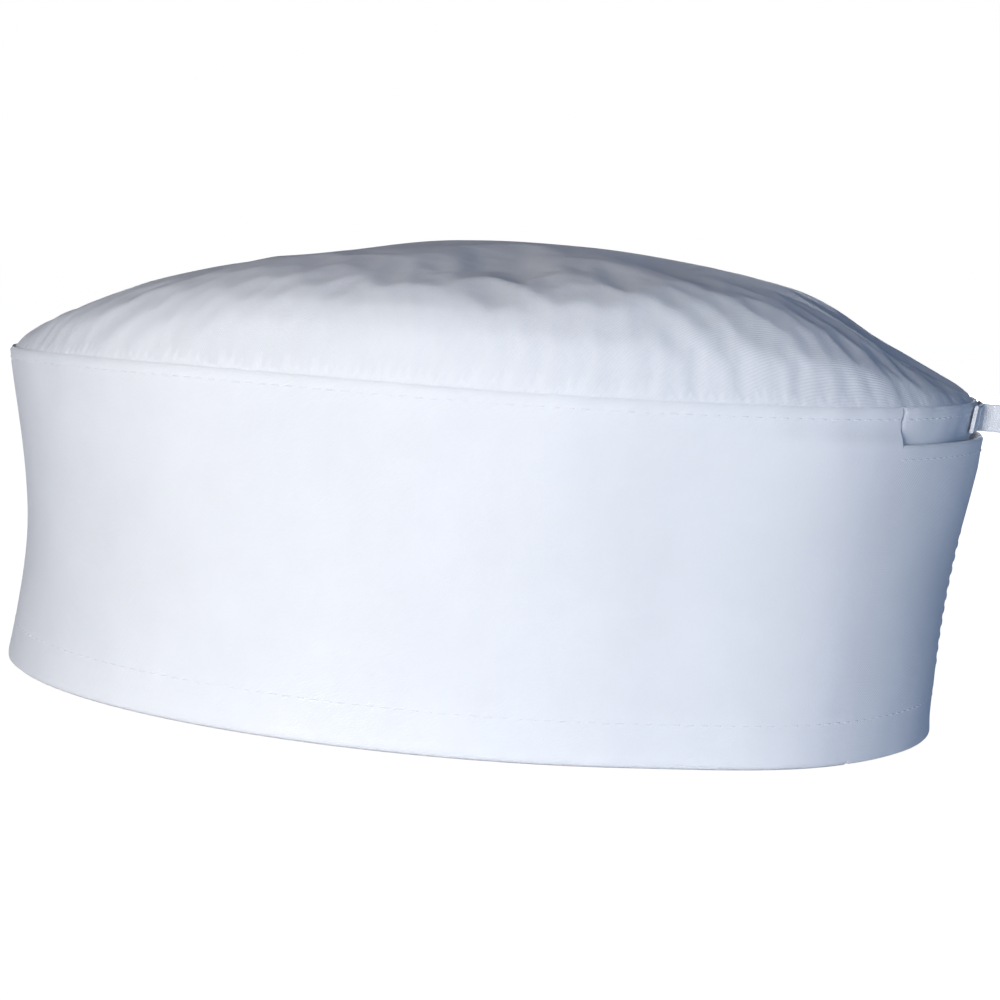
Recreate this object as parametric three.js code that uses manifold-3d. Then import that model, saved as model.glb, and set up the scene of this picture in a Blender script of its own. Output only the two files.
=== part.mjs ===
// A low chef's cap: a stiffened side band that flares towards the top, a soft domed crown gathered
// into the band's top seam, a hook-and-loop closure tab at the back, a hanging loop and a label.
//
// Millimetres, +Z up. The cap stands on the band's bottom edge at z = 0. The front of the cap faces
// -Y, the closure is at +Y, and +X is the wearer's left. Angles round the band are in degrees from
// the centre back (+Y) towards -X, the wearer's right, so the front is at 180.

import * as THREE from 'three';
import Module from 'manifold-3d';
import { mergeVertices } from 'three/addons/utils/BufferGeometryUtils.js';

const wasm = await Module();
wasm.setup();

// The head that the cap fits: half the length and half the width inside the band at its bottom edge.
const HALF_LENGTH = 99;
const HALF_WIDTH = 85;

// The band and the crown.
const BAND_HEIGHT = 73;
const FLARE = 7.3; // how much further out the band stands at its top edge than at its bottom edge
const LEAN = 2; // how much further back the middle of the top edge is than that of the bottom edge
const CROWN_RISE = 29;
const CROWN_THICKNESS = 1;
const RIM_INSET = 0.972; // the crown's inner edge, as a share of the way out to its outer edge

// Every two touching pieces are this far apart.
const GAP = 0.3;

// Thicknesses of the layers.
const LINING = 0.4;
const INTERLINING = 0.4;
const SHELL = 0.5;
const PATCH = 0.6;
const THREAD = 0.5;
const TAPE = 0.8;
const TERRY = 1.2;
const BINDING = 0.7;
const LABEL = 0.5;

// Where each layer begins, measured outwards from the lining's inner face.
const INTERLINING_OUT = LINING + GAP;
const SHELL_OUT = INTERLINING_OUT + INTERLINING + GAP;
const BAND_FACE = SHELL_OUT + SHELL;
const LOOP_PATCH_OUT = BAND_FACE + GAP;
const HOOK_PATCH_OUT = LOOP_PATCH_OUT + PATCH + GAP;
const LAP = HOOK_PATCH_OUT + PATCH + GAP; // how far the tab's layers stand out from the band's own
const TAPE_OUT = BAND_FACE + THREAD + 2 * GAP;

// The lining and interlining stop a little short of the band's edges.
const LINING_BOTTOM = 1;
const LINING_TOP = BAND_HEIGHT - 0.4;
const INTERLINING_BOTTOM = 1.5;
const INTERLINING_TOP = BAND_HEIGHT - 1;

// The closure. The band's inner end runs under the tab and on under the band's outer end, which steps
// out over it.
const UNDERLAP_END = -38;
const TAB_ROOT = -30;
const TAB_END = 20;
const STEP_OUT_START = -60;
const STEP_OUT_END = -34;
const CROWN_STEP_IN_END = -18;
const ROOT_GAP = 0.1; // degrees left on each side of the tab's root line
const TAB_BOTTOM = 0.8;
const TAB_TOP = BAND_HEIGHT - 7.5;

// The two halves of the fastener.
const PATCH_BOTTOM = 12;
const PATCH_TOP = 58;
const LOOP_PATCH_FROM = -16;
const LOOP_PATCH_TO = 18;
const HOOK_PATCH_FROM = 1.5;
const HOOK_PATCH_TO = 18;
const PATCH_STITCH_INSET = 1.5; // millimetres up and down, and degrees round

// Stitch lines.
const HEM_LINE = 9;
const SEAM_LINE = BAND_HEIGHT - 2.5;
const TAB_TOP_LINE = TAB_TOP - 3;
const TAB_END_LINE = TAB_END - 2;
const UNDERLAP_LINE = UNDERLAP_END + 1.5;
const STITCH_WIDTH = 0.6;
const STITCH_DEGREES = 0.4; // the same width, round the band

// The sweatband runs round the front and stops short of the closure.
const SWEATBAND_FROM = 35;
const SWEATBAND_TO = 325;
const SWEATBAND_BOTTOM = 3;
const SWEATBAND_TOP = 33;
const SWEATBAND_GAP = 0.9;
const SWEATBAND_LINE = SWEATBAND_TOP + 1;

// The tape that covers the raw edge of the crown seam, inside.
const BINDING_BOTTOM = BAND_HEIGHT - 10;
const BINDING_TOP = BAND_HEIGHT - 1;
const BINDING_GAP = 0.4;

// The hanging loop, of narrow tape on edge, with its two ends turned out flat on the band.
const LOOP_TOP = BAND_HEIGHT - 0.6;
const LOOP_BOTTOM = LOOP_TOP - 6;
const LOOP_RADIUS = 5;
const LOOP_LENGTH = 33;
const LOOP_NECK = 0.9; // half the width of the two layers where they leave the band
const LOOP_EYE_START = 1.4;
const FOOT_FROM = 1;
const FOOT_TO = 7;
const TACK_FROM = 3;
const TACK_TO = 5;
const TACK_MARGIN = 0.7;

// The blank label, hanging from the binding on the wearer's right.
const LABEL_ANGLE = 62;
const LABEL_DEGREES = 15;
const LABEL_TOP = BINDING_BOTTOM - GAP;
const LABEL_BOTTOM = LABEL_TOP - 28;
const LABEL_GAP = 0.6;

const DEGREE = Math.PI / 180;
const STEP = 5; // degrees in one flat facet of the band
const FINE_STEP = 2.5;

// The loop stands out at the back only, so the cap's middle lies forward of the origin.
const SEAM_STITCH_FACE = BAND_FACE + GAP + THREAD + (FLARE - LEAN) * (SEAM_LINE / BAND_HEIGHT);
const LOOP_ROOT_OUT = TAPE_OUT + TAPE + 2 * GAP; // room for the loop to swing past its feet
const LOOP_TIP = LOOP_ROOT_OUT + (FLARE + LEAN) * (LOOP_TOP / BAND_HEIGHT) + LOOP_LENGTH;
const CENTRE_Y = -(LOOP_TIP - SEAM_STITCH_FACE) / 2;

const MATERIALS = {
  shell: { color: 0xe9edf3, roughness: 0.85 },
  lining: { color: 0xe4e8ee, roughness: 0.9 },
  interlining: { color: 0xdcdcd6, roughness: 0.95 },
  terry: { color: 0xe6e6e2, roughness: 1 },
  tape: { color: 0xdfe3ea, roughness: 0.8 },
  thread: { color: 0xf2f4f7, roughness: 0.6 },
  pile: { color: 0xd9dce2, roughness: 1 },
  hook: { color: 0xced2d8, roughness: 0.5 },
  label: { color: 0xf4f4f1, roughness: 0.45 },
};

// The point of the wall at an angle round it, a height, and a distance out from the lining's face.
function wallPoint(angle, height, out) {
  const turn = angle * DEGREE;
  const normal = new THREE.Vector2(HALF_LENGTH * Math.sin(turn), HALF_WIDTH * Math.cos(turn)).normalize();
  const share = height / BAND_HEIGHT;
  const reach = out + FLARE * share;
  return new THREE.Vector3(
    -HALF_WIDTH * Math.sin(turn) - normal.x * reach,
    HALF_LENGTH * Math.cos(turn) + normal.y * reach + LEAN * share + CENTRE_Y,
    height,
  );
}

// Moves every vertex of a geometry to the place on the wall that a function gives for it. Angles run
// the other way round from the geometry's own x, so each triangle is turned over to face outwards.
function bend(geometry, place) {
  const position = geometry.getAttribute('position');
  const vertex = new THREE.Vector3();
  for (let i = 0; i < position.count; i++) {
    vertex.fromBufferAttribute(position, i);
    const moved = place(vertex);
    position.setXYZ(i, moved.x, moved.y, moved.z);
  }
  geometry.index.array.reverse();
  geometry.computeVertexNormals();
  return geometry;
}

// A flat strip, cut straight and bent round the wall. Its angles, outs and heights are each a pair,
// [from, to]. extraOut gives how far the strip steps out at an angle.
function strip(angles, outs, heights, step = STEP, extraOut = () => 0) {
  const [span, thickness, width] = [angles, outs, heights].map(([low, high]) => high - low);
  const facets = Math.max(1, Math.round(span / step));
  const flat = new THREE.BoxGeometry(span, thickness, width, facets, 1, 1);
  flat.translate(angles[0] + span / 2, outs[0] + thickness / 2, heights[0] + width / 2);
  return bend(flat, (v) => wallPoint(v.x, v.z, v.y + extraOut(v.x)));
}

// How far the band's outer end stands out where it steps over its inner end.
function stepOut(angle) {
  return LAP * THREE.MathUtils.smoothstep(angle - 360, STEP_OUT_START, STEP_OUT_END);
}

// A strip that runs the whole way round the band, from under the tab to the tab's root.
function bandStrip(outs, heights, inset = 0) {
  const angles = [UNDERLAP_END + inset, 360 + TAB_ROOT - ROOT_GAP - inset];
  return strip(angles, outs, heights, STEP, stepOut);
}

// A strip of the tab, which carries on where the band's outer end stops.
function tabStrip(out, thickness, inset = 0) {
  const angles = [TAB_ROOT + ROOT_GAP, TAB_END - inset];
  return strip(angles, [LAP + out, LAP + out + thickness], [TAB_BOTTOM + inset, TAB_TOP - inset]);
}

function toSolid(geometry) {
  const bare = geometry.clone();
  bare.deleteAttribute('normal');
  bare.deleteAttribute('uv');
  const merged = mergeVertices(bare, 1e-4);
  return new wasm.Manifold(
    new wasm.Mesh({
      numProp: 3,
      vertProperties: new Float32Array(merged.getAttribute('position').array),
      triVerts: new Uint32Array(merged.index.array),
    }),
  );
}

// One closed geometry made of several that cross each other.
function join(geometries) {
  const [first, ...rest] = geometries.map(toSolid);
  const mesh = rest.reduce((whole, piece) => whole.add(piece), first).getMesh();
  const joined = new THREE.BufferGeometry();
  joined.setAttribute('position', new THREE.BufferAttribute(mesh.vertProperties, 3));
  joined.setIndex(new THREE.BufferAttribute(mesh.triVerts, 1));
  joined.computeVertexNormals();
  return joined;
}

// Thread laid along the sides of a rectangle on the wall. An open one leaves out its first side.
function stitchedFrame([from, to], [out, outer], [bottom, top], closed = true) {
  const line = STITCH_WIDTH / 2;
  const edge = STITCH_DEGREES / 2;
  const across = [bottom, top].map((height) =>
    strip([from - edge, to + edge], [out, outer], [height - line, height + line], FINE_STEP),
  );
  const ends = (closed ? [from, to] : [to]).map((angle) =>
    strip([angle - edge, angle + edge], [out, outer], [bottom, top]),
  );
  return join([...across, ...ends]);
}

// The crown's height above the seam, from its edge to its middle, as shares of its size.
function crownProfile() {
  const outline = [
    [1, 0],
    [0.92, 0.13],
    [0.81, 0.36],
    [0.67, 0.62],
    [0.48, 0.86],
    [0.24, 0.97],
    [0, 1],
  ];
  const points = outline.map(([across, up]) => new THREE.Vector2(across, up * CROWN_RISE));
  return new THREE.SplineCurve(points).getPoints(9);
}

function crownGeometry() {
  const seam = BAND_HEIGHT + GAP;
  const profile = crownProfile();
  const outer = profile.map((p) => new THREE.Vector2(p.x, seam + CROWN_THICKNESS + p.y)).reverse();
  const inner = profile.map((p) => new THREE.Vector2(p.x * RIM_INSET, seam + p.y));
  const section = [...outer, new THREE.Vector2(1, seam), ...inner];
  [section[0].x, section[section.length - 1].x] = [0, 0];
  const round = new THREE.LatheGeometry(section, 360 / STEP);
  const middle = new THREE.Vector3(0, CENTRE_Y + LEAN, 0);
  return bend(round, (v) => {
    const share = Math.hypot(v.x, v.z);
    const angle = Math.atan2(v.x, v.z) / DEGREE;
    const rim = wallPoint(angle, BAND_HEIGHT, BAND_FACE + crownStepOut(angle));
    return rim.lerp(middle, 1 - share).setZ(v.y);
  });
}

// The crown's edge follows the band's outer end outwards, then comes back in over the tab.
function crownStepOut(angle) {
  const steppingIn = THREE.MathUtils.smoothstep(angle, TAB_ROOT, CROWN_STEP_IN_END);
  return stepOut(angle + 360) * (1 - steppingIn);
}

function bindingGeometry() {
  const [low, high] = [-BINDING_GAP - BINDING, -BINDING_GAP];
  const corners = [
    [low, BINDING_TOP],
    [high, BINDING_TOP],
    [high, BINDING_BOTTOM],
    [low, BINDING_BOTTOM],
    [low, BINDING_TOP],
  ];
  const section = corners.map(([out, height]) => new THREE.Vector2(HALF_WIDTH + out, height));
  const round = new THREE.LatheGeometry(section, 360 / STEP);
  return bend(round, (v) => {
    const angle = Math.atan2(v.x, v.z) / DEGREE;
    return wallPoint(angle, v.y, Math.hypot(v.x, v.z) - HALF_WIDTH);
  });
}

// A drop shape in plan, pointed at the band: straight sides that run onto a round end.
function dropPath(path, start, neck, radius) {
  const middle = LOOP_LENGTH - LOOP_RADIUS;
  const lean = Math.asin((radius - neck) / Math.hypot(middle - start, neck));
  path.moveTo(-neck, start);
  path.lineTo(neck, start);
  path.absarc(0, middle, radius, -lean, Math.PI + lean, false);
  path.closePath();
  return path;
}

function hangingLoopGeometry() {
  const outline = dropPath(new THREE.Shape(), 0, LOOP_NECK, LOOP_RADIUS);
  outline.holes.push(dropPath(new THREE.Path(), LOOP_EYE_START, 0.1, LOOP_RADIUS - TAPE));
  const loop = new THREE.ExtrudeGeometry(outline, {
    depth: LOOP_TOP - LOOP_BOTTOM,
    bevelEnabled: false,
    curveSegments: 14,
  });
  const root = wallPoint(0, LOOP_TOP, LOOP_ROOT_OUT);
  return loop.translate(0, root.y, LOOP_BOTTOM);
}

function loopFoot(side) {
  const angles = [FOOT_FROM * side, FOOT_TO * side].sort((a, b) => a - b);
  return strip(angles, [TAPE_OUT, TAPE_OUT + TAPE], [LOOP_BOTTOM, LOOP_TOP], FINE_STEP);
}

function footTack(side) {
  const angles = [TACK_FROM * side, TACK_TO * side].sort((a, b) => a - b);
  const out = TAPE_OUT + TAPE + GAP;
  const heights = [LOOP_BOTTOM + TACK_MARGIN, LOOP_TOP - TACK_MARGIN];
  return strip(angles, [out, out + THREAD], heights, FINE_STEP);
}

function stitchLine(height) {
  const outs = [BAND_FACE + GAP, BAND_FACE + GAP + THREAD];
  return bandStrip(outs, [height - STITCH_WIDTH / 2, height + STITCH_WIDTH / 2], 1);
}

function underlapStitching() {
  const heights = [HEM_LINE + STITCH_WIDTH, SEAM_LINE - STITCH_WIDTH];
  const angles = [UNDERLAP_LINE, UNDERLAP_LINE + STITCH_DEGREES];
  return strip(angles, [BAND_FACE + GAP, BAND_FACE + GAP + THREAD], heights);
}

function sweatbandStitching() {
  const outs = [-SWEATBAND_GAP + GAP - THREAD, -GAP];
  const heights = [SWEATBAND_LINE, SWEATBAND_LINE + STITCH_WIDTH];
  return strip([SWEATBAND_FROM, SWEATBAND_TO], outs, heights);
}

function patchLines(from, to) {
  const inset = PATCH_STITCH_INSET;
  return [
    [from + inset, to - inset],
    [PATCH_BOTTOM + inset, PATCH_TOP - inset],
  ];
}

function loopPatchStitching() {
  const [angles, heights] = patchLines(LOOP_PATCH_FROM, LOOP_PATCH_TO);
  return stitchedFrame(angles, [-GAP - THREAD, -GAP], heights);
}

function hookPatchStitching() {
  const [angles, heights] = patchLines(HOOK_PATCH_FROM, HOOK_PATCH_TO);
  const out = LAP + BAND_FACE + GAP;
  return stitchedFrame([angles[0], angles[1] - 1], [out, out + THREAD], heights);
}

function tabStitching() {
  const out = LAP + BAND_FACE + GAP;
  const angles = [TAB_ROOT + 1, TAB_END_LINE];
  return stitchedFrame(angles, [out, out + THREAD], [HEM_LINE, TAB_TOP_LINE], false);
}

function patch(from, to, out) {
  return strip([from, to], [out, out + PATCH], [PATCH_BOTTOM, PATCH_TOP], FINE_STEP);
}

function labelGeometry() {
  const angles = [LABEL_ANGLE - LABEL_DEGREES / 2, LABEL_ANGLE + LABEL_DEGREES / 2];
  return strip(angles, [-LABEL_GAP - LABEL, -LABEL_GAP], [LABEL_BOTTOM, LABEL_TOP]);
}

function piece(name, finish, geometry) {
  const material = new THREE.MeshStandardMaterial({ ...MATERIALS[finish], metalness: 0 });
  const mesh = new THREE.Mesh(geometry, material);
  mesh.name = name;
  return mesh;
}

function capBody() {
  const band = [SHELL_OUT, BAND_FACE];
  const stiffener = [INTERLINING_OUT, INTERLINING_OUT + INTERLINING];
  const terry = [-SWEATBAND_GAP - TERRY, -SWEATBAND_GAP];
  const sweatband = strip([SWEATBAND_FROM, SWEATBAND_TO], terry, [SWEATBAND_BOTTOM, SWEATBAND_TOP]);
  return new THREE.Group().add(
    piece('band_outer', 'shell', bandStrip(band, [0, BAND_HEIGHT])),
    piece('band_interlining', 'interlining', bandStrip(stiffener, [INTERLINING_BOTTOM, INTERLINING_TOP])),
    piece('band_lining', 'lining', bandStrip([0, LINING], [LINING_BOTTOM, LINING_TOP])),
    piece('crown_panel', 'shell', crownGeometry()),
    piece('crown_seam_binding', 'tape', bindingGeometry()),
    piece('sweatband', 'terry', sweatband),
    piece('sweatband_stitching', 'thread', sweatbandStitching()),
    piece('seam_stitching', 'thread', stitchLine(SEAM_LINE)),
    piece('hem_stitching', 'thread', stitchLine(HEM_LINE)),
    piece('underlap_stitching', 'thread', underlapStitching()),
    piece('loop_patch', 'pile', patch(LOOP_PATCH_FROM, LOOP_PATCH_TO, LOOP_PATCH_OUT)),
    piece('loop_patch_stitching', 'thread', loopPatchStitching()),
    piece('hanging_loop_foot_left', 'tape', loopFoot(-1)),
    piece('hanging_loop_foot_right', 'tape', loopFoot(1)),
    piece('foot_tack_left', 'thread', footTack(-1)),
    piece('foot_tack_right', 'thread', footTack(1)),
  );
}

function closureTab() {
  return new THREE.Group().add(
    piece('tab_outer', 'shell', tabStrip(SHELL_OUT, SHELL)),
    piece('tab_interlining', 'interlining', tabStrip(INTERLINING_OUT, INTERLINING, 0.5)),
    piece('tab_lining', 'lining', tabStrip(0, LINING, 0.3)),
    piece('tab_stitching', 'thread', tabStitching()),
    piece('hook_patch', 'hook', patch(HOOK_PATCH_FROM, HOOK_PATCH_TO, HOOK_PATCH_OUT)),
    piece('hook_patch_stitching', 'thread', hookPatchStitching()),
  );
}

export default new THREE.Group().add(
  capBody(),
  closureTab(),
  piece('hanging_loop', 'tape', hangingLoopGeometry()),
  piece('care_label', 'label', labelGeometry()),
);
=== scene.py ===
import math

import bpy
import numpy as np
from mathutils import Matrix, Vector, noise
from mathutils.geometry import delaunay_2d_cdt


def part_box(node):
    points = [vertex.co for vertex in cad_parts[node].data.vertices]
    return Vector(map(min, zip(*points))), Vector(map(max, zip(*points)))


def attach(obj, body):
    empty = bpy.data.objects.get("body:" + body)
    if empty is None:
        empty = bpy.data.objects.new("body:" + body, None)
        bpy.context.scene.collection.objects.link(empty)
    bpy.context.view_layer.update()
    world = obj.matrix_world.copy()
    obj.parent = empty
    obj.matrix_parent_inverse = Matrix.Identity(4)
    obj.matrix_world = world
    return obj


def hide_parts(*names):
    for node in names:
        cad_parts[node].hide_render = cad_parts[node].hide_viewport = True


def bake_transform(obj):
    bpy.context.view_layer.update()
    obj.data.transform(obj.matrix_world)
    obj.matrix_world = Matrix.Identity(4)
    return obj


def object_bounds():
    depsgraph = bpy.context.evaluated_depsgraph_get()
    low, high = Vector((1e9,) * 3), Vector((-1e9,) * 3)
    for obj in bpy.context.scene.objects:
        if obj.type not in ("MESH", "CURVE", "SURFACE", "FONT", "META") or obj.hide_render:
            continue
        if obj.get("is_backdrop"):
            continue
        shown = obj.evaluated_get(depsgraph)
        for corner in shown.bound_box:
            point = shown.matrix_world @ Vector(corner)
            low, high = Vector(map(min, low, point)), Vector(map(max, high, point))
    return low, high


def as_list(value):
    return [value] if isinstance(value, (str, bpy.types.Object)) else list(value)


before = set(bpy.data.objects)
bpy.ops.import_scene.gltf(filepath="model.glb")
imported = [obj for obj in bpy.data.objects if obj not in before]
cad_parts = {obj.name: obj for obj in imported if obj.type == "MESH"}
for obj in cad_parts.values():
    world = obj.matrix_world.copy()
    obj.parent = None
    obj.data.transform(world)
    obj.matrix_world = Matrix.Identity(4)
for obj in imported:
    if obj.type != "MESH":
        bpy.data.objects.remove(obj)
cad_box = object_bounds()

# Sizes are in metres. Angles round the band are in degrees from the centre back (+Y) towards -X,
# the wearer's right, so the front is at 180. "out" is the distance out from the lining's inner face.
MM = 0.001
HALF_LENGTH = 99 * MM
HALF_WIDTH = 85 * MM
FLARE = 7.3 * MM
LEAN = 2 * MM
BAND_LOW, BAND_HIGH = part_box("band_outer")
BAND_HEIGHT = BAND_HIGH.z
CENTRE_Y = (BAND_LOW.y + BAND_HIGH.y) / 2 - LEAN
CROWN_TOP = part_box("crown_panel")[1].z

# The layers of the band, each from its inner to its outer face.
LINING = (0.0, 0.4 * MM)
STIFFENER = (0.7 * MM, 1.1 * MM)
SHELL = (1.4 * MM, 1.9 * MM)
FACE = SHELL[1]
LAP = 4.0 * MM
TOP_LAP = 2.1 * MM

UNDERLAP_END = -38
TAB_ROOT = -30
TAB_END = 20
STEP_OUT_START = -60
STEP_OUT_END = -34
TAB_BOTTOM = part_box("tab_outer")[0].z - 0.6 * MM
TAB_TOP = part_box("tab_outer")[1].z

FRONT_SAG = 0.045  # how much lower the soft band stands at the front, as a share of its height
BACK_RISE = 0.02  # and how much higher at the back
HEM_FLICK = 2.4 * MM  # how far the hem turns outwards at the front and at the back
TAB_HUG = 1.7 * MM  # how far the tab's free end leans in on the band
EDGE_HUG = 0.4 * MM  # and its top and bottom edges
TAB_HUG_START = 17.2  # the angle past which that end leans in
FILL_HIGH, FILL_LOW = 1.8 * MM, 0.8 * MM  # how far the inner end comes out above the tab
FILL_FALLS = (-24, -9)  # the angles between which that falls from high to low
FILL_ENDS = (9, 16)  # and those between which it ends
PATCH_HEIGHTS = (12 * MM, 58 * MM)

SINK = 1.3 * MM  # how far the soft band sinks in at mid height, all round
FRONT_SINK = 2.2 * MM  # and how much further at the front
BROAD_WAVE = 0.8 * MM
SEAM_TUG = 0.35 * MM
HEM_PUCKER = 0.13 * MM

HEM_LINE = 9 * MM
SEAM_LINE = BAND_HEIGHT - 2.5 * MM
HEM_TURN = 13 * MM
GROOVE_DEPTH = 0.14 * MM  # of the groove that a row of stitches pulls into the cloth
GROOVE_WIDTH = 0.8 * MM
MEASURING_LINE = (36 * MM, 1 * MM)  # the height and the out at which lengths round the band are taken


def smoothstep(x, low, high):
    t = np.clip((x - low) / (high - low), 0, 1)
    return t * t * (3 - 2 * t)


# ---------------------------------------------------------------- the wall and its layers


def wall(angle, height, out):
    """Points of the wall. Takes numbers or arrays that broadcast together."""
    turn = np.radians(angle)
    across, along = HALF_LENGTH * np.sin(turn), HALF_WIDTH * np.cos(turn)
    size = np.hypot(across, along)
    share = height / BAND_HEIGHT
    reach = out + FLARE * share
    x = -HALF_WIDTH * np.sin(turn) - across / size * reach
    y = HALF_LENGTH * np.cos(turn) + along / size * reach + LEAN * share + CENTRE_Y
    back = np.cos(turn)
    level = 1 - FRONT_SAG * np.clip(-back, 0, 1) ** 2 + BACK_RISE * np.clip(back, 0, 1) ** 2
    return np.stack(np.broadcast_arrays(x, y, height * level), axis=-1)


ANGLE_TABLE = np.linspace(-90, 450, 2161)
ARC_TABLE = np.concatenate(
    [[0], np.cumsum(np.linalg.norm(np.diff(wall(ANGLE_TABLE, *MEASURING_LINE), axis=0), axis=1))]
)


def arc(angle):
    """Distance round the wall, at an angle."""
    return np.interp(angle, ANGLE_TABLE, ARC_TABLE)


def angle_at(distance):
    return np.interp(distance, ARC_TABLE, ANGLE_TABLE)


def wave_noise(x, y, scale, seed):
    """Smooth noise between -1 and 1 at points x, y, in features of about the size scale."""
    x, y = np.broadcast_arrays(x, y)
    values = [
        noise.noise(Vector((a / scale, b / scale, seed))) for a, b in zip(x.ravel(), y.ravel())
    ]
    return np.array(values).reshape(x.shape)


FIELD_ARC = np.linspace(ARC_TABLE[0], ARC_TABLE[-1], 700)
FIELD_HEIGHT = np.linspace(-2 * MM, BAND_HEIGHT + 2 * MM, 40)


def field(scale, seed, stretch=1.0):
    """A noise pattern on the wall, as a function of distance round it and height."""
    grid = wave_noise(FIELD_ARC[:, None], FIELD_HEIGHT[None, :] * stretch, scale, seed)

    def sample(distance, height):
        distance, height = np.broadcast_arrays(distance, height)
        i = (distance - FIELD_ARC[0]) / (FIELD_ARC[1] - FIELD_ARC[0])
        j = (height - FIELD_HEIGHT[0]) / (FIELD_HEIGHT[1] - FIELD_HEIGHT[0])
        i0 = np.clip(i.astype(int), 0, len(FIELD_ARC) - 2)
        j0 = np.clip(j.astype(int), 0, len(FIELD_HEIGHT) - 2)
        u, v = np.clip(i - i0, 0, 1), np.clip(j - j0, 0, 1)
        low = grid[i0, j0] * (1 - u) + grid[i0 + 1, j0] * u
        high = grid[i0, j0 + 1] * (1 - u) + grid[i0 + 1, j0 + 1] * u
        return low * (1 - v) + high * v

    return sample


broad_waves = field(38 * MM, 3.1)
seam_waves = field(6.5 * MM, 7.7, 0.25)
hem_waves = field(5 * MM, 12.3, 0.3)


def step_out(angle, height):
    """How far the band's outer end stands out where it steps over its inner end. Above the tab
    there are no patches between the two, and they lie closer together."""
    over = LAP + (TOP_LAP - LAP) * smoothstep(height, TAB_TOP - 0.5 * MM, TAB_TOP + 4 * MM)
    return over * smoothstep(angle - 360, STEP_OUT_START, STEP_OUT_END)


def band_shape(angle, height):
    """How far the soft band stands out from, or sinks in from, the frame's straight wall."""
    share = np.clip(height / BAND_HEIGHT, 0, 1)
    front = np.clip(-np.cos(np.radians(angle)), 0, 1) ** 3
    sink = (SINK + FRONT_SINK * front) * np.sin(np.pi * share) ** 1.4
    distance = arc(angle)
    broad = BROAD_WAVE * broad_waves(distance, height) * np.sin(np.pi * share)
    near_seam = np.exp(-(BAND_HEIGHT - height) / (7 * MM))
    near_hem = np.exp(-np.abs(height - HEM_LINE) / (4 * MM))
    tugs = SEAM_TUG * near_seam * seam_waves(distance, height)
    puckers = HEM_PUCKER * near_hem * hem_waves(distance, height)
    flick = HEM_FLICK * np.cos(np.radians(angle)) ** 2 * np.exp(-np.maximum(height, 0) / (11 * MM))
    return broad + tugs + puckers + flick - sink


def stitch_groove(height, line):
    return -GROOVE_DEPTH * np.exp(-(((height - line) / GROOVE_WIDTH) ** 2))


def top_fill(angle, height):
    """Above the tab, the band's inner end comes out level with the edge of its outer end, and then
    lies against the feet of the hanging loop."""
    out = FILL_LOW + (FILL_HIGH - FILL_LOW) * (1 - smoothstep(angle, *FILL_FALLS))
    span = smoothstep(angle, TAB_ROOT - 0.6, TAB_ROOT + 0.9) * (1 - smoothstep(angle, *FILL_ENDS))
    return out * span * smoothstep(height, TAB_TOP - 5 * MM, TAB_TOP)


def root_shift(angle, height):
    grooves = stitch_groove(height, HEM_LINE) + stitch_groove(height, SEAM_LINE)
    return step_out(angle, height) + top_fill(angle, height) + band_shape(angle, height) + grooves


def tab_shift(angle, height):
    """The tab stands clear of the band where the patches are, and its margins hug the band."""
    past_end = smoothstep(angle, TAB_HUG_START, TAB_END)
    past_low = smoothstep(PATCH_HEIGHTS[0] - height, 0, 9 * MM)
    past_high = smoothstep(height - PATCH_HEIGHTS[1], 0, 6 * MM)
    near_edge = 1 - (1 - past_low) * (1 - past_high)
    hug = TAB_HUG * past_end + EDGE_HUG * near_edge * (1 - past_end)
    hug = hug * smoothstep(angle, TAB_ROOT, TAB_ROOT + 12)
    return LAP - hug + band_shape(angle + 360 * (angle < 0), height) + stitch_groove(height, HEM_LINE)


# ---------------------------------------------------------------- mesh building


SHARP_ANGLE = math.radians(62)  # the cut ends keep their own shading


def make_object(name, points, faces, uvs=None):
    mesh = bpy.data.meshes.new(name)
    mesh.from_pydata(np.asarray(points, float).reshape(-1, 3).tolist(), [], faces)
    if uvs is not None:
        layer = mesh.uv_layers.new(name="cloth")
        corner = np.zeros(len(mesh.loops), int)
        mesh.loops.foreach_get("vertex_index", corner)
        layer.data.foreach_set("uv", np.asarray(uvs, float).reshape(-1, 2)[corner].ravel())
    mesh.shade_smooth()
    mesh.validate()
    mesh.set_sharp_from_angle(angle=SHARP_ANGLE)
    piece = bpy.data.objects.new(name, mesh)
    bpy.context.scene.collection.objects.link(piece)
    return piece


def grid_faces(rows, columns, close_columns):
    """Quads between neighbouring points of a grid, whose columns may close on themselves."""
    faces = []
    for i in range(rows - 1):
        for j in range(columns if close_columns else columns - 1):
            k = (j + 1) % columns
            faces.append((i * columns + j, i * columns + k, (i + 1) * columns + k, (i + 1) * columns + j))
    return faces


def resample(path, step):
    """The same path with its points evenly spaced, about a step apart."""
    path = np.asarray(path, float)
    lengths = np.concatenate([[0], np.cumsum(np.linalg.norm(np.diff(path, axis=0), axis=1))])
    count = max(2, int(round(lengths[-1] / step)) + 1)
    at = np.linspace(0, lengths[-1], count)
    return np.stack([np.interp(at, lengths, path[:, k]) for k in range(path.shape[1])], axis=1)


def bow(centre, radius, start, end, count=9):
    """Points of a circular bow in the plane of out and height, from angle start to angle end."""
    turns = np.radians(np.linspace(start, end, count))
    return [(centre[0] + radius * math.cos(t), centre[1] + radius * math.sin(t)) for t in turns]


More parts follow.
